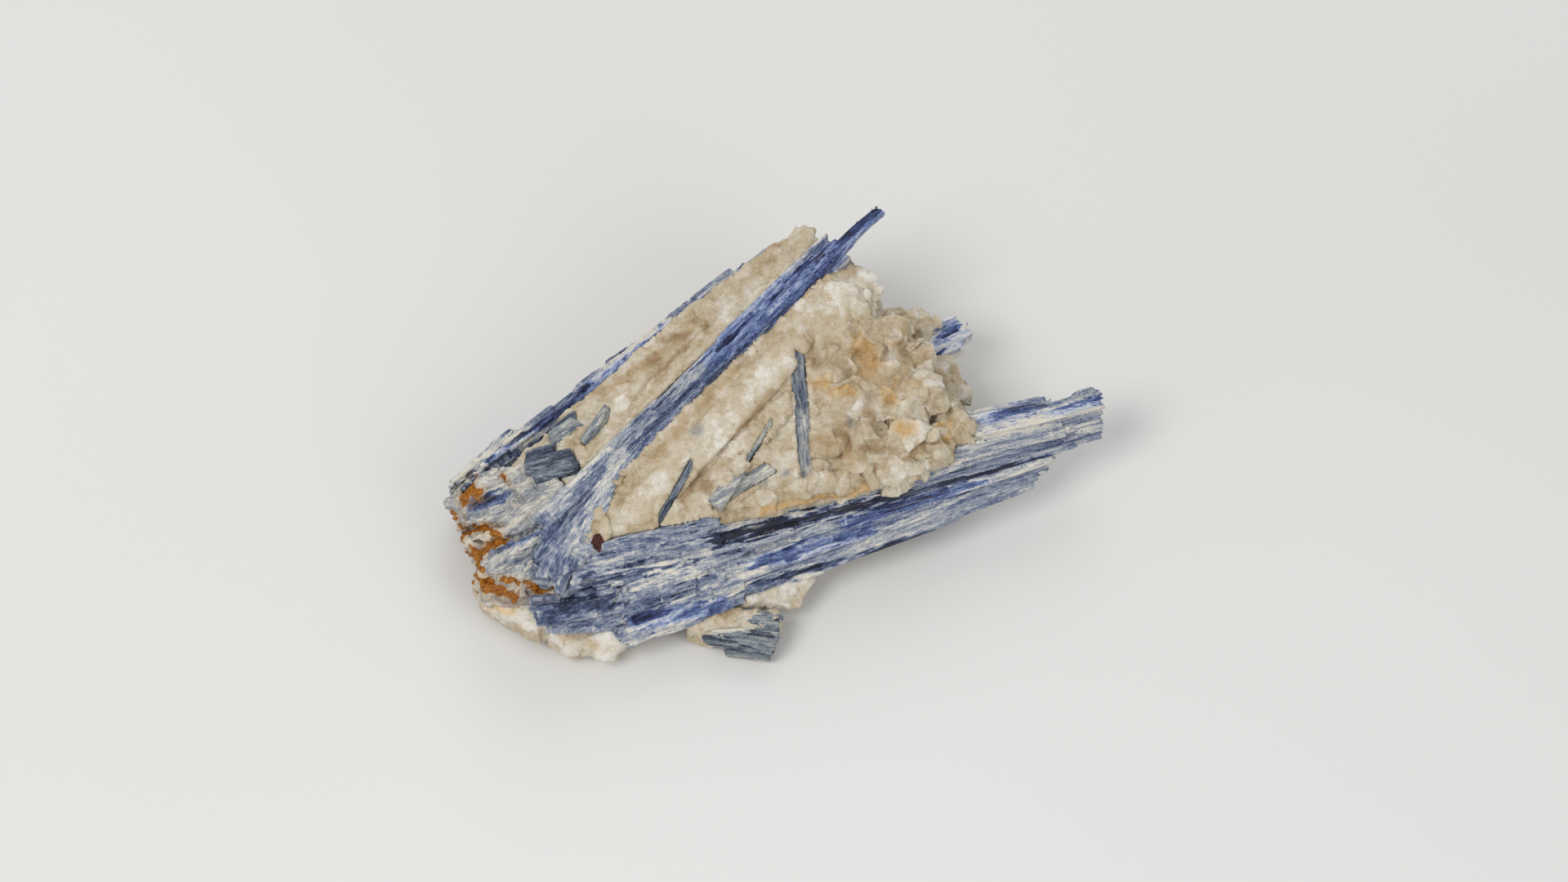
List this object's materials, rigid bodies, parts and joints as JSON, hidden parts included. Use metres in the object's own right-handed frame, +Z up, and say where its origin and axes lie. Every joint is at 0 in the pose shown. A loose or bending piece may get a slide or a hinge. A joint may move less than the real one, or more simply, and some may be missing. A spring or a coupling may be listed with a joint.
{
  "type": "kyanite specimen",
  "caption": "Hand specimen of blue bladed kyanite grown through a lump of milky, iron-stained quartz, lying on a flat fracture face of the quartz.",
  "frame": {"origin": "on the resting face, under the middle of the specimen's box", "axes": "+X along the specimen's length, towards the free end of the lower bundle; +Y towards the back, away from the lower bundle; +Z up from the resting face"},
  "size_m": [0.1294, 0.0852, 0.0351],
  "materials": {
    "quartz": "milky, sugary fracture, satin",
    "kyanite_blue": "streaked, silky to pearly",
    "kyanite_pale": "streaked, silky, rust stained",
    "dark_red_grain": "dull, granular"
  },
  "bodies": {
    "root": {"quartz_matrix": "quartz", "long_blade": "kyanite_blue", "edge_blade": "kyanite_blue", "lower_bundle": "kyanite_blue", "right_stub": "kyanite_blue", "lower_stub": "kyanite_pale", "upright_blade": "kyanite_pale", "broken_blade": "kyanite_pale", "dark_sliver": "kyanite_blue", "thin_needle": "kyanite_blue", "pocket_block": "kyanite_blue", "pocket_prism": "kyanite_blue", "pocket_sliver": "kyanite_blue", "red_grain": "dark_red_grain", "root_cluster": "kyanite_pale"}
  },
  "joints": []
}
